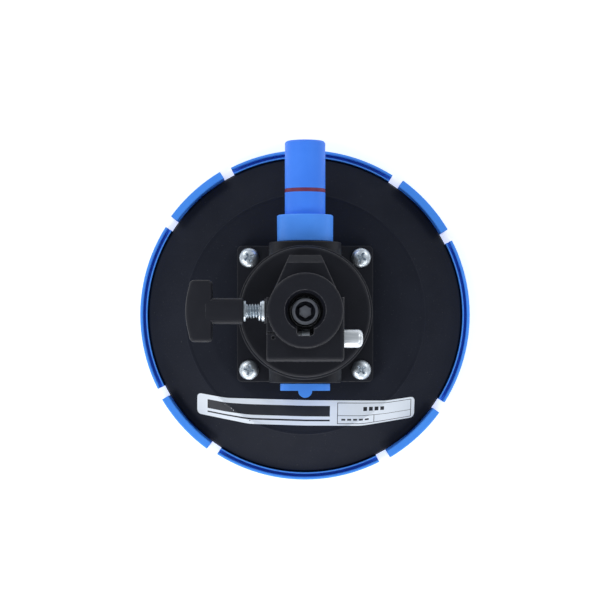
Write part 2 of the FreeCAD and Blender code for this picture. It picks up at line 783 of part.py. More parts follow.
def make_knob():
    """The moulded T-knob: a bar with a bulging back on a round stem, moulded round the screw."""
    bar = primitive("Box", "knob_bar", ("-handle_rear", "-handle_half", "clamp_axis - handle_half_thick"),
                    Length="handle_rear - stem_rear", Width="2 * handle_half", Height="2 * handle_half_thick")
    bulge = primitive("Cylinder", "knob_bulge",
                      ("handle_bulge - handle_rear", "0", "clamp_axis - handle_half_thick - 1"),
                      Radius="handle_bulge", Height="2 * handle_half_thick + 2")
    crowned = combine("Common", "knob_crowned", bar, bulge)
    document.recompute()
    rear = size("stem_rear")
    corners = rounded("knob_corners", crowned, size("handle_corner"),
                      lambda edge: is_upright(edge) and edge.CenterOfMass.x < -rear - 1)
    soft = rounded("knob_soft", corners, size("handle_round"),
                   lambda edge: not is_upright(edge))
    stem = primitive("Cylinder", "knob_stem", ("-stem_rear - 2", "0", "clamp_axis"), RIGHT,
                     Radius="stem_radius", Height="stem_rear + 2 - screw_collar_rear")
    whole = combine("Fuse", "knob_whole", soft, stem)
    way = primitive("Cylinder", "knob_way", ("-screw_anchor", "0", "clamp_axis"), RIGHT,
                    Radius="clamp_screw_radius", Height="screw_anchor")
    handle = combine("Cut", "knob_handle", whole, way)
    handle.Label = "knob_handle"


def rounded(name, base, radius, wanted):
    """A Part fillet of the edges that a test picks."""
    document.recompute()
    feature = document.addObject("Part::Fillet", name)
    feature.Base = base
    feature.Edges = [(i, radius, radius) for i, edge in enumerate(base.Shape.Edges, 1) if wanted(edge)]
    document.recompute()
    return feature


def make_safety_pin():
    """The push-button pin that crosses the keyway, its spring and the pin that stops it."""
    axis = ("0", "-pin_offset", "clamp_axis")
    pin = turned("safety_pin", [
        ("0", "-pin_rear"),
        ("pin_radius", "-pin_rear"),
        ("pin_radius", "-neck_rear"),
        ("neck_radius", "-neck_rear"),
        ("neck_radius", "-neck_front"),
        ("pin_radius", "-neck_front"),
        ("pin_radius", "waist_rear"),
        ("waist_radius", "waist_rear"),
        ("waist_radius", "waist_front"),
        ("pin_radius", "waist_front"),
        ("pin_radius", "pin_end - pin_dome"),
        ("pin_radius - pin_dome / 3", "pin_end - pin_dome / 3"),
        ("pin_radius - pin_dome", "pin_end"),
        ("0", "pin_end")], axis, RIGHT)
    drill(pin, "spring_recess", "pin_recess_radius", "pin_rear - pin_recess_end", ("0", "0", "-pin_rear"))
    spring("safety_pin_spring", "pin_spring_radius", "pin_wire", "-pin_hole_rear",
           "pin_hole_rear - pin_recess_end", "pin_turns", axis, RIGHT)
    ring("pin_stop", "0", "stop_radius", "turret_top", "stop_top", ("stop_right", "-stop_rear", "0"))


def make_pump():
    """The pump: tube, collar, hollow plunger with its red band, piston, seals, spring and valve."""
    axis = ("0", "0", "pump_axis")
    tube = turned("pump_tube", [
        ("0", "-tube_rear"),
        ("tube_radius", "-tube_rear"),
        ("tube_radius", "tube_seal_rear"),
        ("tube_seal_inner", "tube_seal_rear"),
        ("tube_seal_inner", "tube_seal_front"),
        ("tube_radius", "tube_seal_front"),
        ("tube_radius", "tube_front"),
        ("tube_bore", "tube_front"),
        ("tube_bore", "tube_wall - tube_rear"),
        ("0", "tube_wall - tube_rear")], axis, FORWARD)
    drill(tube, "inlet", "inlet_radius", "tube_radius + 1", ("0", "tube_radius + 1", "-inlet_rear"), -FORWARD)
    ring("tube_seal", "tube_seal_inner", "tube_radius", "tube_seal_rear", "tube_seal_front", axis, FORWARD)
    guide = "plunger_radius + plunger_play"
    turned("pump_collar", [
        ("tube_radius", "collar_rear"),
        ("collar_radius - collar_edge", "collar_rear"),
        ("collar_radius", "collar_rear + collar_edge"),
        ("collar_radius", "collar_front - collar_edge"),
        ("collar_radius - collar_edge", "collar_front"),
        (guide, "collar_front"),
        (guide, "wiper_front"),
        ("wiper_radius", "wiper_front"),
        ("wiper_radius", "wiper_rear"),
        (guide, "wiper_rear"),
        (guide, "tube_front"),
        ("tube_radius", "tube_front")], axis, FORWARD)
    ring("collar_wiper", guide, "wiper_radius", "wiper_rear", "wiper_front", axis, FORWARD)
    turned("plunger", [
        ("plunger_bore", "piston_front"),
        ("plunger_radius", "piston_front"),
        ("plunger_radius", "band_rear"),
        ("band_inner", "band_rear"),
        ("band_inner", "band_front"),
        ("plunger_radius", "band_front"),
        ("plunger_radius", "plunger_end - plunger_dome"),
        ("plunger_radius - 0.3 * plunger_dome", "plunger_end - 0.5 * plunger_dome"),
        ("plunger_radius - plunger_dome", "plunger_end - 0.15 * plunger_dome"),
        ("0", "plunger_end"),
        ("0", "plunger_bore_end"),
        ("plunger_bore", "plunger_bore_end")], axis, FORWARD)
    ring("red_band", "band_inner", "plunger_radius", "band_rear", "band_front", axis, FORWARD)
    turned("piston", [
        ("plunger_bore", "piston_rear"),
        ("piston_radius", "piston_rear"),
        ("piston_radius", "seal_rear"),
        ("seal_inner", "seal_rear"),
        ("seal_inner", "seal_front"),
        ("piston_radius", "seal_front"),
        ("piston_radius", "piston_front"),
        ("plunger_bore", "piston_front")], axis, FORWARD)
    ring("piston_seal", "seal_inner", "seal_outer", "seal_rear", "seal_front", axis, FORWARD)
    ring("spring_seat", "0", "spring_seat_radius", "tube_wall - tube_rear", "-spring_seat_front", axis,
         FORWARD)
    spring("plunger_spring", "plunger_spring_radius", "plunger_wire", "-spring_seat_front",
           "plunger_bore_end + spring_seat_front", "plunger_turns", axis, FORWARD)
    valve = ("0", "-inlet_rear", "0")
    ring("valve_seat", "inlet_radius", "valve_radius", "air_channel_top", "valve_seat_top", valve)
    ring("valve_disc", "0", "valve_disc_radius", "valve_disc_low", "valve_disc_top", valve)


def make_lever():
    """The release lever with its vent plug, hinge pin and coil spring."""
    lever = new_body("release_lever")
    box(lever, "paddle", ("-lever_half", "-lever_outer", "lever_bottom"),
        ("lever_half", "-lever_inner", "lever_top"))
    top = size("lever_top")
    dress(lever, "paddle_corners", "lever_corner",
          lambda edge: edge.BoundBox.ZMin > top - TOUCH and edge.BoundBox.YLength > 1)
    cylinder(lever, "tab", "tab_radius", "tab_thick", ("0", "-lever_outer", "lever_top - tab_thick"))
    box(lever, "tab_clear", ("-tab_radius", "-lever_inner", "lever_bottom"),
        ("tab_radius", "tab_radius - lever_inner", "lever_top + 1"), cut=True)
    for side, start in (("right", "knuckle_inner"), ("left", "-knuckle_inner - knuckle_width")):
        box(lever, f"arm_{side}", (start, "-lever_inner", "hinge_height - knuckle_radius"),
            (start + " + knuckle_width", "-hinge_rear", "hinge_height + knuckle_radius"))
        cylinder(lever, f"knuckle_{side}", "knuckle_radius", "knuckle_width",
                 (start, "-hinge_rear", "hinge_height"), RIGHT)
    drill(lever, "pin_way", "hinge_pin_radius + hinge_play", "2 * hinge_pin_half",
          ("-hinge_pin_half", "-hinge_rear", "hinge_height"), RIGHT)
    drill(lever, "plug_recess", "plug_radius", "plug_rear - lever_inner",
          ("0", "-lever_inner", "pump_axis"), -FORWARD)
    ring("release_plug", "0", "plug_radius", "plug_front", "plug_rear", ("0", "0", "pump_axis"), -FORWARD)
    ring("lever_pin", "0", "hinge_pin_radius", "-hinge_pin_half", "hinge_pin_half",
         ("0", "-hinge_rear", "hinge_height"), RIGHT)
    spring("lever_spring", "lever_spring_radius", "lever_wire", "-lever_spring_half",
           "2 * lever_spring_half", "lever_turns", ("0", "-hinge_rear", "hinge_height"), RIGHT)


def half_edge(name):
    """One long edge of the label, from its middle to its right end, with one bend."""
    return [(0, -size(name + "_middle")), (size(name + "_bend_across"), -size(name + "_bend")),
            (size("label_half"), -size(name + "_end"))]


def make_label():
    """The sticker: a thin sheet that follows the pad's crown and slope, cut to a strip."""
    gap, thick = size("label_gap"), size("label_thick")
    line = [(size("label_blanket_inner"), size("pad_top")), (size("pad_crown_radius"), size("pad_top")),
            (size("pad_ridge_radius"), size("pad_ridge_height")),
            (size("pad_radius") - size("pad_rim_lean"), size("pad_rim_top"))]
    low = [FreeCAD.Vector(radius, 0, height + gap) for radius, height in line]
    high = [point + UP * thick for point in reversed(low)]
    blanket = Part.Face(Part.makePolygon(low + high + low[:1])).revolve(FreeCAD.Vector(), UP, 360)
    upper, lower = half_edge("upper"), half_edge("lower")
    around = upper[::-1] + [(-x, y) for x, y in upper[1:]] + [(-x, y) for x, y in lower[:0:-1]] + lower
    corners = [FreeCAD.Vector(x, y, 0) for x, y in around]
    strip = Part.Face(Part.makePolygon(corners + corners[:1])).extrude(UP * size("flange_top"))
    half = size("label_half")
    ends = [edge for edge in strip.Edges if is_upright(edge) and abs(edge.CenterOfMass.x) > half - TOUCH]
    strip = strip.makeFillet(size("label_corner"), ends)
    strip.rotate(FreeCAD.Vector(), UP, size("label_turn"))
    strip.translate(RIGHT * size("label_right"))
    label = document.addObject("Part::Feature", "label")
    label.Shape = blanket.common(strip).Solids[0]
    label.Label = "label"


def subparts():
    """The bodies, and the free Part objects that no other object uses."""
    bodies = [item for item in document.Objects if item.TypeId == "PartDesign::Body"]
    return bodies + [item for item in document.Objects
                     if item.TypeId.startswith("Part::") and not item.InList]


def check_and_save():
    """Stop if any object failed, then write each sub-part to its own file."""
    document.recompute()
    failed = [item.Name for item in document.Objects
              if "Invalid" in item.State or "Error" in item.State]
    if failed:
        raise RuntimeError("failed objects: " + ", ".join(failed))
    os.makedirs("parts", exist_ok=True)
    for part in subparts():
        if part.Shape.isNull() or not part.Shape.isValid():
            raise RuntimeError("bad shape: " + part.Label)
        part.Shape.exportStep(f"parts/{part.Label}.step")
        print(f"{part.Label}: {len(part.Shape.Solids)} solid, {part.Shape.Volume:.0f} mm3")


make_cover()
make_pad()
make_housing()
make_base_screws()
make_casting()
make_bolt()
make_clamp()
make_knob()
make_safety_pin()
make_pump()
make_lever()
make_label()
check_and_save()
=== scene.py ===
import json
import math

import bmesh
import bpy
from mathutils import Matrix, Vector

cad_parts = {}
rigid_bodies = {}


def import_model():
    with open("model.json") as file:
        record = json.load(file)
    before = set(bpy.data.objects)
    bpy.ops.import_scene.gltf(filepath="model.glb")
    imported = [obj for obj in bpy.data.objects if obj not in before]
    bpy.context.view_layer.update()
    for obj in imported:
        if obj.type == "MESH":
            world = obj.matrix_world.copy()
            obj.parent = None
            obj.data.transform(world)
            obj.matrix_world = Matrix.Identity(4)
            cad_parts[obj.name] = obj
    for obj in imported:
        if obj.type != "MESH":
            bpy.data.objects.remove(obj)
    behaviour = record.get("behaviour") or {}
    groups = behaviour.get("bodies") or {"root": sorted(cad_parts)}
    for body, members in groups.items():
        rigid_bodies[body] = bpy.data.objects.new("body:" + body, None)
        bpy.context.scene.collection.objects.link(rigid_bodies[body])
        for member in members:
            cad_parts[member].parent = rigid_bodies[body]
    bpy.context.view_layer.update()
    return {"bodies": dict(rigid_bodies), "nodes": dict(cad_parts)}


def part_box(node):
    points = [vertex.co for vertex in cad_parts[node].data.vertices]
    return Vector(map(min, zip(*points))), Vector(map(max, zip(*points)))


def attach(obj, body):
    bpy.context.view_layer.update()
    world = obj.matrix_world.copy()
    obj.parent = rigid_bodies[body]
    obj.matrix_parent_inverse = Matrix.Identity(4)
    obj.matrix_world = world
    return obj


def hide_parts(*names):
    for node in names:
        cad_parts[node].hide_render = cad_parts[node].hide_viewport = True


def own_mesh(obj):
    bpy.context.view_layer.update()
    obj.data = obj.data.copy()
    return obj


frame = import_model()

# A hand-pumped vacuum cup with a lighting-spigot socket. Shapes are written in millimetres, with
# +Z up the socket and +Y the way the plunger comes out, and scaled to metres when a mesh is made.
# Corners of an outline are (x, y, rounding), or (radius, height, rounding) where it is turned.
MM = 0.001
TURN = 2 * math.pi
ALONG_X, ALONG_Y = (1, 0, 0), (0, 1, 0)


def corners_of(node):
    """A CAD node's lowest and highest corners in millimetres."""
    low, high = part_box(node)
    return low / MM, high / MM


# ---------------------------------------------------------------- materials

def link(tree, source, target):
    tree.links.new(source, target)


def object_space(tree, scale=(1, 1, 1)):
    """Object coordinates, stretched by a scale."""
    place = tree.nodes.new("ShaderNodeTexCoord")
    mapping = tree.nodes.new("ShaderNodeMapping")
    mapping.inputs["Scale"].default_value = scale
    link(tree, place.outputs["Object"], mapping.inputs["Vector"])
    return mapping.outputs["Vector"]


def noise_of(tree, vector, scale, detail=4.0, rough=0.55):
    """A noise texture's factor."""
    node = tree.nodes.new("ShaderNodeTexNoise")
    node.inputs["Scale"].default_value = scale
    node.inputs["Detail"].default_value = detail
    node.inputs["Roughness"].default_value = rough
    link(tree, vector, node.inputs["Vector"])
    return node.outputs["Fac"]


def span(tree, factor, low, high, start=0.3, end=0.7):
    """Map a factor from start..end onto low..high."""
    node = tree.nodes.new("ShaderNodeMapRange")
    for name, value in (("From Min", start), ("From Max", end), ("To Min", low), ("To Max", high)):
        node.inputs[name].default_value = value
    link(tree, factor, node.inputs["Value"])
    return node.outputs["Result"]


def blend_colour(tree, factor, first, second):
    """Mix two colours, each a constant or a socket, by a factor."""
    node = tree.nodes.new("ShaderNodeMix")
    node.data_type = "RGBA"
    link(tree, factor, node.inputs["Factor"])
    for name, colour in (("A", first), ("B", second)):
        socket = next(s for s in node.inputs if s.name == name and s.type == "RGBA")
        if isinstance(colour, bpy.types.NodeSocket):
            link(tree, colour, socket)
        else:
            socket.default_value = (*colour, 1)
    return next(s for s in node.outputs if s.type == "RGBA")


def combine(tree, operation, first, second):
    """A math node on two sockets or numbers, clamped to 0..1."""
    node = tree.nodes.new("ShaderNodeMath")
    node.operation = operation
    node.use_clamp = True
    for index, value in enumerate((first, second)):
        if isinstance(value, bpy.types.NodeSocket):
            link(tree, value, node.inputs[index])
        else:
            node.inputs[index].default_value = value
    return node.outputs["Value"]


def edge_mask(tree, radius):
    """About 1 along convex edges and 0 on flat faces: how far a bevelled normal leans."""
    # Where the edge colour, part wear and part painted highlight or shade, is full and where it is none.
    fully_tinted, not_tinted = 0.86, 0.995
    bevel = tree.nodes.new("ShaderNodeBevel")
    bevel.samples = 4
    bevel.inputs["Radius"].default_value = radius
    geometry = tree.nodes.new("ShaderNodeNewGeometry")
    dot = tree.nodes.new("ShaderNodeVectorMath")
    dot.operation = "DOT_PRODUCT"
    link(tree, bevel.outputs["Normal"], dot.inputs[0])
    link(tree, geometry.outputs["Normal"], dot.inputs[1])
    return span(tree, dot.outputs["Value"], 1.0, 0.0, fully_tinted, not_tinted)


def bump(tree, height, distance):
    """A bump normal from a height."""
    node = tree.nodes.new("ShaderNodeBump")
    node.inputs["Distance"].default_value = distance
    link(tree, height, node.inputs["Height"])
    return node.outputs["Normal"]


def material(name, tones, rough, grain, relief, metal=0.0, specular=0.5, edge_wear_and_light=None, patch=90.0,
             stretch=(1, 1, 1), sheen=0.0, fleck=None, smudge=0.0):
    """A procedural finish.

    tones are two colours mixed by a soft noise of scale patch, stretched by stretch. rough is a
    pair of roughnesses, grain the scale of the fine noise in 1/m and relief its bump's height in m.
    edge_wear_and_light is a colour laid along convex edges, with its width in m and its strength:
    partly rubbed wear, and partly painted highlight where it is lighter than the surface or painted
    shade where it is darker. fleck is a colour of sparse fine specks, with its threshold and scale.
    smudge is how far large soft marks raise the roughness.
    """
    made = bpy.data.materials.new(name)
    made.use_nodes = True
    tree = made.node_tree
    shader = tree.nodes["Principled BSDF"]
    space = object_space(tree, stretch)
    patches = noise_of(tree, space, patch)
    colour = blend_colour(tree, span(tree, patches, 0, 1), tones[0], tones[1])
    grains = noise_of(tree, space, grain, 3.0, 0.6)
    if fleck:
        speck, threshold, density = fleck
        specks = noise_of(tree, object_space(tree), density, 2.0, 0.4)
        shown = span(tree, specks, 0, 1, threshold, threshold + 0.06)
        colour = blend_colour(tree, shown, colour, speck)
    roughness = span(tree, grains, rough[0], rough[1])
    if smudge:
        marks = noise_of(tree, object_space(tree), 28.0, 5.0, 0.65)
        roughness = combine(tree, "ADD", roughness, span(tree, marks, 0, smudge, 0.45, 0.7))
    # Edge colour, broken up by noise: partly rubbed wear, partly painted highlight on lighter edges and
    # painted shade on darker ones.
    if edge_wear_and_light:
        edge_colour, width, strength = edge_wear_and_light
        edge_breakup = span(tree, noise_of(tree, object_space(tree), 900.0, 3.0), 0.15, 1.0, 0.35, 0.65)
        mask = combine(tree, "MULTIPLY", edge_mask(tree, width), edge_breakup)
        mask = combine(tree, "MULTIPLY", mask, strength)
        colour = blend_colour(tree, mask, colour, edge_colour)
    link(tree, colour, shader.inputs["Base Color"])
    link(tree, roughness, shader.inputs["Roughness"])
    link(tree, bump(tree, grains, relief), shader.inputs["Normal"])
    shader.inputs["Metallic"].default_value = metal
    shader.inputs["Specular IOR Level"].default_value = specular
    shader.inputs["Sheen Weight"].default_value = sheen
    shader.inputs["Sheen Roughness"].default_value = 0.4
    return made


# Lighter edges on the black plastics: partly wear, partly painted highlight.
PLASTIC_EDGE_WEAR_AND_LIGHT = ((0.120, 0.122, 0.132), 0.0005, 0.75)
FINISHES = {
    # Its dark edge colour is painted shade along the cover's edges.
    "cover_blue": dict(
        tones=((0.058, 0.278, 0.92), (0.068, 0.308, 0.97)), rough=(0.42, 0.54), grain=1500,
        relief=0.00003, specular=0.28, edge_wear_and_light=((0.050, 0.125, 0.36), 0.0006, 0.95), smudge=0.12),
    # Its lighter edges are partly wear, partly painted highlight.
    "pump_blue": dict(
        tones=((0.048, 0.222, 0.92), (0.056, 0.246, 0.96)), rough=(0.40, 0.52), grain=1100,
        relief=0.00002, specular=0.26, edge_wear_and_light=((0.11, 0.33, 0.98), 0.0005, 0.3), smudge=0.10),
    "black_rubber": dict(
        tones=((0.0094, 0.0114, 0.0192), (0.0124, 0.0148, 0.0240)), rough=(0.55, 0.68), grain=1900,
        relief=0.00006, specular=0.12, fleck=((0.035, 0.037, 0.043), 0.70, 1600.0), smudge=0.12,
        patch=45.0),
    "seal_rubber": dict(
        tones=((0.010, 0.010, 0.012), (0.017, 0.017, 0.019)), rough=(0.45, 0.6), grain=1500,
        relief=0.00003, specular=0.3),
    "black_plastic": dict(
        tones=((0.0068, 0.0078, 0.0128), (0.0094, 0.0106, 0.0160)), rough=(0.40, 0.56), grain=2600,
        relief=0.00005, specular=0.20, edge_wear_and_light=PLASTIC_EDGE_WEAR_AND_LIGHT, smudge=0.12),
    "knob_plastic": dict(
        tones=((0.0092, 0.0100, 0.0150), (0.0125, 0.0134, 0.0190)), rough=(0.42, 0.56), grain=2400,
        relief=0.00005, specular=0.20, edge_wear_and_light=PLASTIC_EDGE_WEAR_AND_LIGHT, smudge=0.12),
    # Its lighter edges are partly wear, partly painted highlight.
    "black_casting": dict(
        tones=((0.0050, 0.0058, 0.0105), (0.0074, 0.0082, 0.0138)), rough=(0.42, 0.58), grain=3200,
        relief=0.00008, specular=0.24, edge_wear_and_light=((0.165, 0.165, 0.178), 0.0007, 0.85), smudge=0.10,
        fleck=((0.026, 0.027, 0.032), 0.68, 2400.0)),
    "zinc_steel": dict(
        tones=((0.60, 0.66, 0.72), (0.72, 0.78, 0.84)), rough=(0.34, 0.46), grain=1400,
        relief=0.00002, metal=1.0, smudge=0.08, patch=260.0),
    "plated_steel": dict(
        tones=((0.45, 0.46, 0.48), (0.62, 0.63, 0.64)), rough=(0.30, 0.48), grain=1500,
        relief=0.00002, metal=1.0, smudge=0.15, patch=200.0),
    # Its lighter edges are partly wear, partly painted highlight.
    "dark_steel": dict(
        tones=((0.26, 0.27, 0.31), (0.38, 0.39, 0.43)), rough=(0.26, 0.38), grain=1500,
        relief=0.00002, metal=1.0, edge_wear_and_light=((0.62, 0.62, 0.66), 0.0004, 0.6), patch=220.0),
    "spring_steel": dict(
        tones=((0.42, 0.42, 0.43), (0.58, 0.58, 0.59)), rough=(0.22, 0.36), grain=1200,
        relief=0.00001, metal=1.0),
    # Its light and dark streaks along the pin are partly a brushed finish, partly painted reflection of
    # the surroundings.
    "chrome_steel": dict(
        tones=((0.46, 0.51, 0.56), (0.94, 0.96, 0.98)), rough=(0.38, 0.46), grain=900,
        relief=0.000004, metal=1.0, smudge=0.06, patch=1100.0, stretch=(0.03, 1, 1)),
    "brass": dict(
        tones=((0.62, 0.44, 0.17), (0.76, 0.58, 0.27)), rough=(0.24, 0.38), grain=1200,
        relief=0.00001, metal=1.0),
    "red_plastic": dict(
        tones=((0.155, 0.024, 0.066), (0.200, 0.032, 0.082)), rough=(0.40, 0.50), grain=1200,
        relief=0.00002, specular=0.3),
    "white_plastic": dict(
        tones=((0.70, 0.70, 0.67), (0.80, 0.80, 0.77)), rough=(0.32, 0.45), grain=1200,
        relief=0.00002),
    "filter_felt": dict(
        tones=((0.50, 0.49, 0.45), (0.72, 0.71, 0.67)), rough=(0.85, 0.95), grain=2200,
        relief=0.0003, sheen=0.3, specular=0.2, patch=900.0),
    "label_film": dict(
        tones=((0.65, 0.70, 0.77), (0.71, 0.76, 0.83)), rough=(0.34, 0.46), grain=700,
        relief=0.00002, specular=0.3, smudge=0.10, patch=60.0),
    # The rest aren't slots of the record: each is used on a piece whose slot is one of the above.
    "label_ink": dict(
        tones=((0.011, 0.013, 0.020), (0.018, 0.021, 0.029)), rough=(0.36, 0.48), grain=1100,
        relief=0.00001, specular=0.3),
    # A darker copy of zinc_steel, used on the clamp screw.
    "darker_zinc": dict(
        tones=((0.30, 0.35, 0.39), (0.50, 0.56, 0.62)), rough=(0.30, 0.44), grain=1400,
        relief=0.00002, metal=1.0, smudge=0.15, patch=500.0),
    # pump_blue made lighter: painted light that cancels the shade the collar and release lever lie in.
    # Its lighter edges are partly wear, partly painted highlight.
    "pump_blue_painted_light": dict(
        tones=((0.070, 0.288, 0.95), (0.080, 0.315, 0.99)), rough=(0.40, 0.52), grain=1100,
        relief=0.00002, specular=0.26, edge_wear_and_light=((0.16, 0.44, 0.98), 0.0005, 0.3), smudge=0.10),
}
MATERIALS = {name: material(name, **finish) for name, finish in FINISHES.items()}

for body in frame["bodies"].values():
    for child in body.children:
        slot_name = child.material_slots[0].material.name.split(".")[0]
        child.material_slots[0].material = MATERIALS[slot_name]
# The release lever gets the lighter pump blue: painted light against the shade it lies in.
frame["nodes"]["release_lever"].material_slots[0].material = MATERIALS["pump_blue_painted_light"]


# ---------------------------------------------------------------- mesh helpers

def soften(outline, steps=6, closed=False):
    """The points of a line of (x, y, radius) corners, each corner rounded to its radius."""
    points = []
    count = len(outline)
    for i, (x, y, radius) in enumerate(outline):
        corner = Vector((x, y))
        if not radius or (not closed and i in (0, count - 1)):
            points.append(corner)
            continue
        back = (Vector(outline[i - 1][:2]) - corner).normalized()
        ahead = (Vector(outline[(i + 1) % count][:2]) - corner).normalized()
        half = back.angle(ahead) / 2
        middle = corner + (back + ahead).normalized() * (radius / math.sin(half))
        start = corner + back * (radius / math.tan(half)) - middle
        end = corner + ahead * (radius / math.tan(half)) - middle
        sweep = start.angle_signed(end)
        for step in range(steps + 1):
            swing = Matrix.Rotation(-sweep * step / steps, 2)
            points.append(middle + swing @ start)
    return points


def toward(direction):
    """The rotation that turns local Z to a direction: local Y then points up, if it can."""
    direction = Vector(direction)
    if direction.z > 0.999:
        return Matrix.Identity(4)
    return direction.to_track_quat("Z", "Y").to_matrix().to_4x4()


def skin(mesh, rings, closed=False):
    """Join rings of points, each a full ring or a single point, into a surface."""
    made = [[mesh.verts.new(point) for point in ring] for ring in rings]
    pairs = list(zip(made, made[1:])) + ([(made[-1], made[0])] if closed else [])
    for low, high in pairs:
        for i in range(max(len(low), len(high))):
            j = i + 1
            quad = [low[i % len(low)], low[j % len(low)], high[j % len(high)], high[i % len(high)]]
            unique = list(dict.fromkeys(quad))
            if len(unique) > 2:
                mesh.faces.new(unique)
    return made


def capped(rings):
    """A bmesh of rings joined into a surface, with a flat face at each end."""
    mesh = bmesh.new()
    made = skin(mesh, rings)
    mesh.faces.new(made[0])
    mesh.faces.new(made[-1])
    return mesh


def moved(mesh, place, direction=(0, 0, 1)):
    """A bmesh turned from local Z to a direction and put in its place, in millimetres."""
    matrix = Matrix.Translation(place) @ toward(direction)
    bmesh.ops.transform(mesh, matrix=matrix, verts=mesh.verts)
    return mesh


def plain_object(name, mesh):
    """A bmesh, in millimetres, as an object in metres. The bmesh is freed."""
    bmesh.ops.remove_doubles(mesh, verts=mesh.verts, dist=1e-5)
    bmesh.ops.recalc_face_normals(mesh, faces=mesh.faces)
    bmesh.ops.scale(mesh, vec=(MM, MM, MM), verts=mesh.verts)
    data = bpy.data.meshes.new(name)
    mesh.to_mesh(data)
    mesh.free()
    piece = bpy.data.objects.new(name, data)
    bpy.context.scene.collection.objects.link(piece)
    return piece


def boolean(base, tool, operation):
    """Cut or join a tool into a base, both bmeshes in millimetres; the result is a bmesh too."""
    objects = [plain_object(name, mesh) for name, mesh in (("base", base), ("tool", tool))]
    step = objects[0].modifiers.new("boolean", "BOOLEAN")
    step.operation = operation
    step.object = objects[1]
    step.solver = "EXACT"
    view = bpy.context.evaluated_depsgraph_get()
    result = bmesh.new()
    result.from_mesh(objects[0].evaluated_get(view).to_mesh())
    bmesh.ops.scale(result, vec=(1 / MM, 1 / MM, 1 / MM), verts=result.verts)
    for item in objects:
        data = item.data
        bpy.data.objects.remove(item)
        bpy.data.meshes.remove(data)
    return result


def make(name, mesh, body, slot, node, sharp=28.0, finishes=()):
    """Turn a bmesh in millimetres into a piece that rides on a body and replaces a CAD node.

    Edges sharper than sharp degrees stay crisp. The finish is the slot's unless others are named.
    """
    piece = plain_object(name, mesh)
    data = piece.data
    edit = bmesh.new()
    edit.from_mesh(data)
    for face in edit.faces:
        face.smooth = True
    for edge in edit.edges:
        edge.smooth = edge.calc_face_angle(0.0) < math.radians(sharp)
    edit.to_mesh(data)
    edit.free()
    for finish in finishes or (slot,):
        data.materials.append(MATERIALS[finish])
    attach(piece, body)
    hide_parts(node)
    return piece


def lathe(outline, segments=128, steps=6, change=None, closed=False):
    """A turned bmesh about local Z from (radius, height, rounding) corners, open to change."""
    mesh = bmesh.new()
    rings = []
    for radius, height in (tuple(point) for point in soften(outline, steps, closed)):
        if radius < 1e-6:
            rings.append([Vector((0, 0, height))])
            continue
        ring = []
        for i in range(segments):
            angle = TURN * i / segments
            reach, level = change(radius, height, angle) if change else (radius, height)
            ring.append(Vector((reach * math.cos(angle), reach * math.sin(angle), level)))
        rings.append(ring)
    skin(mesh, rings, closed)
    return mesh


def inset(points, distance):
    """A closed outline moved inwards along its own normals, the outline running anticlockwise."""
    result = []
    count = len(points)
    for i, point in enumerate(points):
        before = (point - points[i - 1]).normalized()
        after = (points[(i + 1) % count] - point).normalized()
        first, second = Vector((-before.y, before.x)), Vector((-after.y, after.x))
        normal = (first + second).normalized()
        result.append(point + normal * (distance / max(0.3, normal.dot(first))))
    return result


def slab(points, low, high, low_round, high_round, steps=6, seam=0.0):
    """A prism of an anticlockwise outline with rounded rims, and a moulding seam round its middle."""
    rings = []
    for base, radius, sign in ((low, low_round, 1), (high, high_round, -1)):
        part = []
        for step in range(steps + 1):
            angle = math.pi / 2 * step / steps
            part.append((inset(points, radius * (1 - math.sin(angle))),
                         base + sign * radius * (1 - math.cos(angle))))
        if seam and sign == 1:
            middle = (low + high) / 2
            part += [(inset(points, -out), middle + level) for out, level in
                     ((0, -1.5 * seam), (seam, -0.5 * seam), (seam, 0.5 * seam), (0, 1.5 * seam))]
        rings += part if sign == 1 else part[::-1]
    return capped([[Vector((*point, level)) for point in ring] for ring, level in rings])


# ---------------------------------------------------------------- rubber pad and its sticker

PAD_LOW, PAD_HIGH = corners_of("rubber_pad")
PAD_RIM = PAD_HIGH.x
CROWN = 46  # the radius where the flat crown turns into the slope
PAD_TOP = soften([
    (PAD_RIM, PAD_LOW.z + 3, 0), (PAD_RIM - 0.95, PAD_LOW.z + 5.1, 0.9),
    (57.7, 17.0, 0.3), (57.2, 17.6, 0.25), (56.5, 17.6, 0.25), (56.0, 17.55, 0.3),
    (CROWN, PAD_HIGH.z, 16), (0, PAD_HIGH.z, 0)], 12)


def pad_height(radius):
    """The height of the pad's upper face at a distance from its axis."""
    for outer, inner in zip(PAD_TOP, PAD_TOP[1:]):
        if inner.x <= radius <= outer.x:
            return inner.y + (outer.y - inner.y) * (radius - inner.x) / max(1e-9, outer.x - inner.x)
    raise ValueError(f"no pad at radius {radius}")


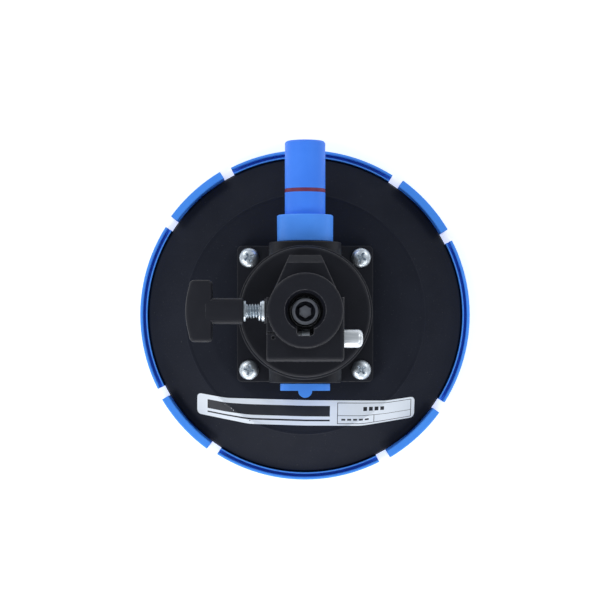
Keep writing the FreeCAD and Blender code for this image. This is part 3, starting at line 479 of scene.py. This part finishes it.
def build_pad():
    """The rubber pad: crown, slope and rim above; sealing lip, ring grooves and cavity below."""
    base = PAD_LOW.z
    # The cavity has a flat roof, then falls along a straight flank to the lip.
    roof, roof_reach, fall, run = 9, 36, 5.7, 35
    groove_radii, groove_half, groove_deep, groove_lean = (46, 52, 58, 64), 0.7, 0.6, 0.11
    filter_high = corners_of("air_filter")[1]
    below = [(0, filter_high.z, 0), (filter_high.x, filter_high.z, 0.3),
             (filter_high.x, roof, 0.4), (roof_reach, roof, 2)]
    for groove in groove_radii:
        level = roof - fall * (groove - roof_reach) / run
        below += [(groove - groove_half, level + groove_lean, 0.3), (groove, level + groove_deep, 0.3),
                  (groove + groove_half, level - groove_lean, 0.3)]
    below += [(roof_reach + run, base + 1.25, 1.5), (PAD_RIM - 1.7, base, 0.5),
              (PAD_RIM - 0.35, base + 0.3, 0.4), (PAD_RIM, base + 1.1, 0.5)]
    outline = below + [(point.x, point.y, 0) for point in PAD_TOP]
    plate_low, plate_high = corners_of("backing_plate")
    above = 12  # the recess is open at the top, so its tool stands well out of the pad
    recess = bmesh.new()
    bmesh.ops.create_cube(recess, size=1)
    size = Vector((plate_high.x - plate_low.x, plate_high.y - plate_low.y, above))
    bmesh.ops.scale(recess, vec=size, verts=recess.verts)
    bmesh.ops.translate(recess, vec=(0, 0, plate_low.z + size.z / 2), verts=recess.verts)
    mesh = boolean(lathe(outline, 256, 8), recess, "DIFFERENCE")
    make("rubber_pad_skin", mesh, "cup", "black_rubber", "rubber_pad")


def through(points, across):
    """The height of a line through points, at x."""
    for (x0, y0), (x1, y1) in zip(points, points[1:]):
        if x0 <= across <= x1 + 1e-6:
            return y0 + (y1 - y0) * (across - x0) / (x1 - x0)
    raise ValueError(f"no line at {across}")


# The printing is plain on purpose: two stripes and a ruled box with dots and dashes, as
# (from, to) along the sticker in millimetres and (from, to) across it as shares of its width.
RULE = 0.3
STRIPES = (-47.0, 11.5)
BOX_LEFT, BOX_RIGHT, BOX_MIDDLE = 15.0, 50.4, 32.4
PRINT = [(STRIPES, (0.36, 0.78)), (STRIPES, (0.17, 0.235)),
         ((BOX_LEFT, BOX_RIGHT), (0.885, 0.91)), ((BOX_LEFT, BOX_RIGHT), (0.065, 0.09)),
         ((BOX_LEFT, BOX_LEFT + RULE), (0.065, 0.91)), ((BOX_RIGHT - RULE, BOX_RIGHT), (0.065, 0.91)),
         ((BOX_LEFT, BOX_RIGHT), (0.385, 0.405)), ((BOX_MIDDLE, BOX_MIDDLE + RULE), (0.065, 0.405))]
PRINT += [((27.4 + 2.7 * i, 29.2 + 2.7 * i), (0.575, 0.74)) for i in range(4)]
PRINT += [((17.0 + 2.8 * i, 18.9 + 2.8 * i), (0.20, 0.27)) for i in range(5)]


def build_label():
    """The white sticker, wrapped on the pad, its printing cut out of its own faces."""
    half, corner, lift, thick = 52.0, 2.0, 0.05, 0.16
    tilt, shift = math.radians(-1), Vector((1.15, 0))
    # Right halves of its two long edges, which are the same on the left.
    upper = soften([(0, -41.0, 0), (38, -40.6, 30), (half, -38.4, 0)], 8)
    lower = soften([(0, -53.1, 0), (27, -52.75, 30), (half, -48.3, 0)], 8)
    columns = {round(-half + i, 4) for i in range(1, int(2 * half))}
    columns |= {edge for along, _ in PRINT for edge in along}
    columns |= {sign * (half - corner * (1 - math.sin(math.pi / 2 * k / 8)))
                for sign in (1, -1) for k in range(9)}
    columns = sorted(columns)
    rows = sorted({i / 12 for i in range(13)} | {edge for _, width in PRINT for edge in width})
    turn = Matrix.Rotation(tilt, 2)
    mesh = bmesh.new()
    layers = []
    for height in (lift, lift + thick):
        grid = []
        for across in columns:
            top, base = through(upper, abs(across)), through(lower, abs(across))
            over = max(0.0, abs(across) - (half - corner))
            trim = corner - math.sqrt(max(0.0, corner ** 2 - over ** 2))
            top, base = top - trim, base + trim
            line = []
            for share in rows:
                flat = turn @ Vector((across, base + (top - base) * share)) + shift
                line.append(mesh.verts.new((*flat, pad_height(flat.length) + height)))
            grid.append(line)
        layers.append(grid)
    for layer, grid in enumerate(layers):
        for i in range(len(columns) - 1):
            for j in range(len(rows) - 1):
                quad = [grid[i][j], grid[i + 1][j], grid[i + 1][j + 1], grid[i][j + 1]]
                face = mesh.faces.new(quad if layer else quad[::-1])
                u, v = (columns[i] + columns[i + 1]) / 2, (rows[j] + rows[j + 1]) / 2
                if layer and any(a < u < b and c < v < d for (a, b), (c, d) in PRINT):
                    face.material_index = 1
    low, high = layers
    end, last = len(columns) - 1, len(rows) - 1
    rim = ([(i, 0) for i in range(end + 1)] + [(end, j) for j in range(1, last + 1)]
           + [(i, last) for i in range(end - 1, -1, -1)] + [(0, j) for j in range(last - 1, 0, -1)])
    for (i, j), (k, m) in zip(rim, rim[1:] + rim[:1]):
        mesh.faces.new([low[i][j], low[k][m], high[k][m], high[i][j]])
    make("label_sticker", mesh, "cup", "label_film", "label", finishes=("label_film", "label_ink"))


# ---------------------------------------------------------------- screws, bolt and clamp

CROSS_FLOOR = 1.7  # how deep the cross recess of a screw head is at its middle


def cross_depth(x, y):
    """How deep the cross recess is at a point of a screw head."""
    arm_half, arm_reach, core = 0.52, 2.45, 1.05
    flank_slope, end_slope, core_slope = 5, 1.5, 2.2
    depth = 0.0
    for along, across in ((abs(x), abs(y)), (abs(y), abs(x))):
        depth = max(depth, min((arm_half - across) * flank_slope, (arm_reach - along) * end_slope))
    depth = max(depth, (core - math.hypot(x, y)) * core_slope)
    return min(depth, CROSS_FLOOR)


def build_screws():
    """Pan-head screws with cross recesses, each turned as it stopped."""
    low, high = corners_of("base_screws")
    plate, reach, shank, point = 5, 4.7, 2.5, 2.1
    roundness, dome_steps = 2.5, 44
    seat = corners_of("pump_housing")[0].z + plate
    head = high.z - seat
    middle = high.x - reach
    outline = [(0, seat + head - CROSS_FLOOR, 0)]
    for i in range(1, dome_steps + 1):
        radius = reach * i / dome_steps
        fullness = (1 - (radius / reach) ** roundness) ** (1 / roundness)
        outline.append((radius, seat + head * fullness, 0))
    outline += [(reach - 0.1, seat, 0), (shank, seat, 0), (shank, low.z + 0.4, 0), (point, low.z, 0),
                (0, low.z, 0)]
    turns = {("left", "back"): 62, ("right", "back"): 24, ("left", "front"): 12, ("right", "front"): 50}
    for (side, row), degrees in turns.items():

        def recess(radius, height, angle):
            if height <= seat + 0.5:
                return radius, height
            angle += math.radians(degrees)
            return radius, height - cross_depth(radius * math.cos(angle), radius * math.sin(angle))

        place = (-middle if side == "left" else middle, -middle if row == "front" else middle, 0)
        mesh = moved(lathe(outline, 120, change=recess), place)
        make(f"base_screw_{side}_{row}", mesh, "cup", "zinc_steel", "base_screws", sharp=35)


def build_bolt():
    """The socket-head cap screw at the bottom of the bore: knurled head and hexagonal recess."""
    low, high = corners_of("socket_bolt")
    top, reach = high.z, high.x
    key, socket, depth = 3.0, 3.4, 4.0  # half the key's width, and the recess it is shaped from
    shank, tip = 4, 3.4
    under_head = low.z + 17.2
    knurled, ridges, knurl_deep = 6.42, 30, 0.1

    def shape(radius, height, angle):
        if 1 < radius < socket + 0.09 and height > top - depth - 0.3:
            sector = (angle + TURN / 12) % (TURN / 6) - TURN / 12
            return radius / math.cos(sector) * key / socket, height
        if radius > knurled:
            return radius - knurl_deep * abs(math.sin(ridges * angle)), height
        return radius, height

    outline = [(0, top - depth - 0.5, 0), (2.9, top - depth, 0), (socket, top - depth + 0.9, 0),
               (socket, top - 2.4, 0), (4.2, top - 0.4, 0.1), (4.6, top, 0.15), (6.1, top, 0.2),
               (reach, top - 0.5, 0.1), (reach, under_head + 0.1, 0.1), (reach - 0.3, under_head, 0),
               (shank, under_head, 0), (shank, low.z + 0.6, 0), (tip, low.z, 0), (0, low.z, 0)]
    make("socket_cap_screw", lathe(outline, 240, 4, shape), "cup", "dark_steel", "socket_bolt",
         sharp=35)


CLAMP_LOW, CLAMP_HIGH = corners_of("clamp_screw")
CLAMP_PLACE = (0, 0, (CLAMP_LOW.z + CLAMP_HIGH.z) / 2)
CLAMP_RADIUS = 3.2


def build_clamp_screw():
    """The clamp screw, with its collar and a real thread."""
    pitch, deep, sharpness = 1.25, 0.80, 2.6
    thread_start, thread_end, runout = -26.4, -12.7, 0.8
    collar, collar_start, collar_end = CLAMP_HIGH.y, -27.9, -26.7
    close_start, close_length, rings_a_turn = -26.5, 14, 12  # the stretch with close rings

    def thread(radius, height, angle):
        if not (CLAMP_RADIUS - 0.5 <= radius <= CLAMP_RADIUS + 0.01
                and thread_start < height < thread_end):
            return radius, height
        fade = min(1.0, (height - thread_start) / runout, (thread_end - height) / runout)
        phase = (height / pitch - angle / TURN) % 1.0
        groove = max(0.0, 1 - sharpness * abs(phase - 0.5))
        return radius - deep * fade * groove, height

    levels = [close_start + i * pitch / rings_a_turn
              for i in range(int(close_length * rings_a_turn / pitch))]
    outline = [(0, CLAMP_LOW.x, 0), (CLAMP_RADIUS, CLAMP_LOW.x, 0.3), (CLAMP_RADIUS, collar_start, 0),
               (collar, collar_start, 0.25), (collar, collar_end, 0.25), (CLAMP_RADIUS, collar_end, 0)]
    outline += [(CLAMP_RADIUS, level, 0) for level in levels if level < CLAMP_HIGH.x - 0.5]
    outline += [(CLAMP_RADIUS - 0.5, CLAMP_HIGH.x, 0.1), (0, CLAMP_HIGH.x, 0)]
    mesh = moved(lathe(outline, 96, 4, thread), CLAMP_PLACE, ALONG_X)
    make("clamp_screw_threaded", mesh, "t_knob", "zinc_steel", "clamp_screw", sharp=40,
         finishes=("darker_zinc",))


def build_lock_washer():
    """The split lock washer round the clamp screw, leaning a little as it does when slack."""
    low, high = corners_of("lock_washer")
    inner, outer, wide, chamfer = CLAMP_RADIUS + 0.12, high.y, 0.72, 0.15
    split, gap, count = math.radians(60), math.radians(9), 100
    lean, offset = 0.36, 0.12
    section = [(inner, -wide / 2), (outer - chamfer, -wide / 2), (outer, chamfer - wide / 2),
               (outer, wide / 2 - chamfer), (outer - chamfer, wide / 2), (inner, wide / 2)]
    rings = []
    for i in range(count + 1):
        angle = split + gap / 2 + (TURN - gap) * i / count
        centre = (low.x + high.x) / 2 + (lean * math.cos(angle) + offset * (i / count - 0.5))
        rings.append([Vector((radius * math.cos(angle), radius * math.sin(angle), centre + level))
                      for radius, level in section])
    mesh = moved(capped(rings), CLAMP_PLACE, ALONG_X)
    make("split_lock_washer", mesh, "cup", "zinc_steel", "lock_washer", sharp=35)


def build_knob():
    """The moulded T-knob: a bar with a bulging back on a squarish stem."""
    low, high = corners_of("knob_handle")
    back, half, face = low.x, high.y, -41.8
    bulge, back_corner, face_corner = 37.0, 2.6, 1.8
    rim, trim, seam = 1.5, 0.1, 0.08
    flank = back + bulge - math.sqrt(bulge ** 2 - (half - back_corner) ** 2) + 0.35
    outline = [(face, half, face_corner), (flank, half, back_corner - 0.3)]
    for step in range(1, 24):
        y = (half - back_corner) * (1 - step / 12)
        outline.append((back + bulge - math.sqrt(bulge ** 2 - y ** 2), y, 0))
    outline += [(flank, -half, back_corner - 0.3), (face, -half, face_corner)]
    bar = slab(soften(outline, 6, closed=True), low.z + trim, high.z - trim, rim, rim, 7, seam)
    stem_half, squareness, sides, overlap = 5.85, 5, 96, 3
    section = []
    for i in range(sides):
        angle = TURN * i / sides
        c, s = math.cos(angle), math.sin(angle)
        reach = stem_half / (abs(c) ** squareness + abs(s) ** squareness) ** (1 / squareness)
        section.append(Vector((reach * c, reach * s)))
    start = face - overlap
    stem = slab(section, 0, high.x - start, 0.3, 0.6, 4)
    moved(stem, (start, 0, CLAMP_PLACE[2]), ALONG_X)
    make("t_knob_moulding", boolean(bar, stem, "UNION"), "t_knob", "knob_plastic", "knob_handle")


def build_safety_pin():
    """The chrome push-button pin: domed end, waist that clears the keyway, and a ring groove."""
    low, high = corners_of("safety_pin")
    reach = (high.y - low.y) / 2
    place = (0, (low.y + high.y) / 2, (low.z + high.z) / 2)
    pocket, pocket_floor = 2.9, -4.4  # for the spring, in the inner end
    groove, groove_start, groove_end = 3.3, -3.9, -1.8
    waist, waist_start, waist_end = 2.1, 2.2, 10.2
    outline = [(0, pocket_floor, 0), (pocket, pocket_floor, 0), (pocket, low.x, 0),
               (reach, low.x, 0.4), (reach, groove_start, 0.15), (groove, groove_start, 0.1),
               (groove, groove_end, 0.1), (reach, groove_end, 0.15), (reach, waist_start, 0.3),
               (waist, waist_start, 0.3), (waist, waist_end, 0.3), (reach, waist_end, 0.3),
               (reach, high.x - 0.3, 2.3), (0, high.x, 0)]
    make("chrome_button_pin", moved(lathe(outline, 128, 8), place, ALONG_X), "safety_pin",
         "chrome_steel", "safety_pin", sharp=35)


# ---------------------------------------------------------------- pump

PLUNGER_LOW, PLUNGER_HIGH = corners_of("plunger")
PUMP_PLACE = (0, 0, (PLUNGER_LOW.z + PLUNGER_HIGH.z) / 2)


def build_plunger():
    """The blue hollow plunger and the red ring in its groove."""
    low, high = PLUNGER_LOW, PLUNGER_HIGH
    band_low, band_high = corners_of("red_band")
    reach, bore, bore_end = high.x, 7, 62
    groove = reach - 0.4
    outline = [(bore, low.y, 0), (reach, low.y, 0.2), (reach, band_low.y, 0.12),
               (groove, band_low.y, 0), (groove, band_high.y, 0), (reach, band_high.y, 0.12),
               (reach, high.y - 0.3, 1.5), (reach - 1.6, high.y - 0.1, 3), (0, high.y, 0),
               (0, bore_end, 0), (bore, bore_end, 0.6), (bore, low.y, 0)]
    make("plunger_body", moved(lathe(outline, 160, 8), PUMP_PLACE, ALONG_Y), "plunger_assembly",
         "pump_blue", "plunger", sharp=35)
    shoulder = reach - 0.12
    ring = [(groove, band_low.y, 0), (shoulder, band_low.y, 0.15),
            (reach, (band_low.y + band_high.y) / 2, 0.8), (shoulder, band_high.y, 0.15),
            (groove, band_high.y, 0)]
    make("plunger_red_ring", moved(lathe(ring, 160, 4, closed=True), PUMP_PLACE, ALONG_Y),
         "plunger_assembly", "red_plastic", "red_band")


def build_collar():
    """The blue collar that guides the plunger, with a groove for its wiper ring."""
    low, high = corners_of("pump_collar")
    wiper_low, wiper_high = corners_of("collar_wiper")
    tube_front = corners_of("pump_tube")[1].y
    outer, guide, tube, wiper = high.x, 9.58, 11.5, 11.0
    outline = [(tube, low.y, 0), (outer - 0.1, low.y, 0.4), (outer, high.y - 0.9, 0),
               (outer - 0.1, high.y, 0.75), (guide + 0.5, high.y, 0.1), (guide, high.y - 0.5, 0.1),
               (guide, wiper_high.y, 0), (wiper, wiper_high.y, 0), (wiper, wiper_low.y, 0),
               (guide, wiper_low.y, 0), (guide, tube_front, 0), (tube, tube_front, 0)]
    # The collar gets the lighter pump blue: painted light against the shade it lies in.
    make("pump_collar_ring", moved(lathe(outline, 160, 6, closed=True), PUMP_PLACE, ALONG_Y), "cup",
         "pump_blue", "pump_collar", sharp=35, finishes=("pump_blue_painted_light",))


def build_springs():
    """The plunger's and the safety pin's coil springs."""
    steps, sides = 28, 12
    # node, piece, joint, axis, the wire's radius and the number of turns
    springs = (("plunger_spring", "plunger_coil_spring", "plunger_slide", 1, 0.45, 12),
               ("safety_pin_spring", "safety_pin_coil_spring", "pin_slide", 0, 0.25, 7))
    for node, name, joint, axis, wire, turns in springs:
        low, high = corners_of(node)
        start, end = low[axis], high[axis]
        radius = (high.z - low.z) / 2 - wire
        section = [TURN * k / sides for k in range(sides)]
        rings = []
        for i in range(steps * turns + 1):
            angle = TURN * i / steps
            out = Vector((math.cos(angle), math.sin(angle), 0))
            rise = Vector((0, 0, start + wire + (end - start - 2 * wire) * i / (steps * turns)))
            rings.append([rise + out * (radius + wire * math.cos(t)) + Vector((0, 0, wire * math.sin(t)))
                          for t in section])
        place = (low + high) / 2
        place[axis] = 0
        direction = Vector((0, 0, 0))
        direction[axis] = 1
        mesh = moved(capped(rings), place, direction)
        piece = make(name, mesh, "cup", "spring_steel", node, sharp=60)
        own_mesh(piece)


build_pad()
build_label()
build_screws()
build_bolt()
build_clamp_screw()
build_lock_washer()
build_knob()
build_safety_pin()
build_plunger()
build_collar()
build_springs()


# ---------------------------------------------------------------- stage, light and camera

def build_stage():
    """A plain pale floor just under the object, glowing a little so that it stays white."""
    half, drop, glow = 6.0, 0.0002, 0.46
    mesh = bmesh.new()
    corners = [mesh.verts.new((x, y, 0))
               for x, y in ((-half, -half), (half, -half), (half, half), (-half, half))]
    mesh.faces.new(corners)
    data = bpy.data.meshes.new("floor")
    mesh.to_mesh(data)
    mesh.free()
    floor = bpy.data.objects.new("floor", data)
    floor.location.z = -drop
    paint = bpy.data.materials.new("floor_paint")
    paint.use_nodes = True
    shader = paint.node_tree.nodes["Principled BSDF"]
    shader.inputs["Base Color"].default_value = (0.93, 0.93, 0.93, 1)
    shader.inputs["Emission Color"].default_value = (1, 1, 1, 1)
    shader.inputs["Emission Strength"].default_value = glow
    shader.inputs["Roughness"].default_value = 0.9
    shader.inputs["Specular IOR Level"].default_value = 0.1
    data.materials.append(paint)
    bpy.context.scene.collection.objects.link(floor)


def soft_light(name, place, size, power):
    """A square area light that faces the object."""
    data = bpy.data.lights.new(name, "AREA")
    data.shape = "SQUARE"
    data.size = size
    data.energy = power
    lamp = bpy.data.objects.new(name, data)
    lamp.location = place
    lamp.rotation_euler = (-Vector(place)).to_track_quat("-Z", "Y").to_euler()
    bpy.context.scene.collection.objects.link(lamp)


def build_light():
    """Four soft lamps round the object and a low one in front, under a dim cool sky."""
    world = bpy.data.worlds.new("studio")
    world.use_nodes = True
    sky = world.node_tree.nodes["Background"]
    sky.inputs["Color"].default_value = (0.88, 0.94, 1, 1)
    sky.inputs["Strength"].default_value = 0.40
    bpy.context.scene.world = world
    away, size = 1.1, 0.5
    # name, azimuth in degrees, height in metres, power in watts
    lamps = (("front_left", 222, 0.9, 7.4), ("front_right", 312, 0.9, 4.2),
             ("back_left", 132, 0.8, 4.2), ("back_right", 42, 0.8, 3.2), ("front", 268, 0.12, 5.5))
    for name, degrees, height, power in lamps:
        azimuth = math.radians(degrees)
        soft_light(name, (away * math.cos(azimuth), away * math.sin(azimuth), height), size, power)


def build_camera():
    """Almost straight down, from as far away as a product photograph is taken."""
    distance, elevation = 1.1, math.radians(88.4)
    aim = Vector((-0.0024, 0.0070, 0.008))
    back = Vector((0, -math.cos(elevation), math.sin(elevation)))
    data = bpy.data.cameras.new("camera")
    data.sensor_width = 36
    data.lens = 137.1
    data.clip_start = 0.05
    camera = bpy.data.objects.new("camera", data)
    camera.location = aim + back * distance
    camera.rotation_euler = (-back).to_track_quat("-Z", "Y").to_euler()
    bpy.context.scene.collection.objects.link(camera)
    bpy.context.scene.camera = camera


build_stage()
build_light()
build_camera()
bpy.context.scene.view_settings.view_transform = "Standard"
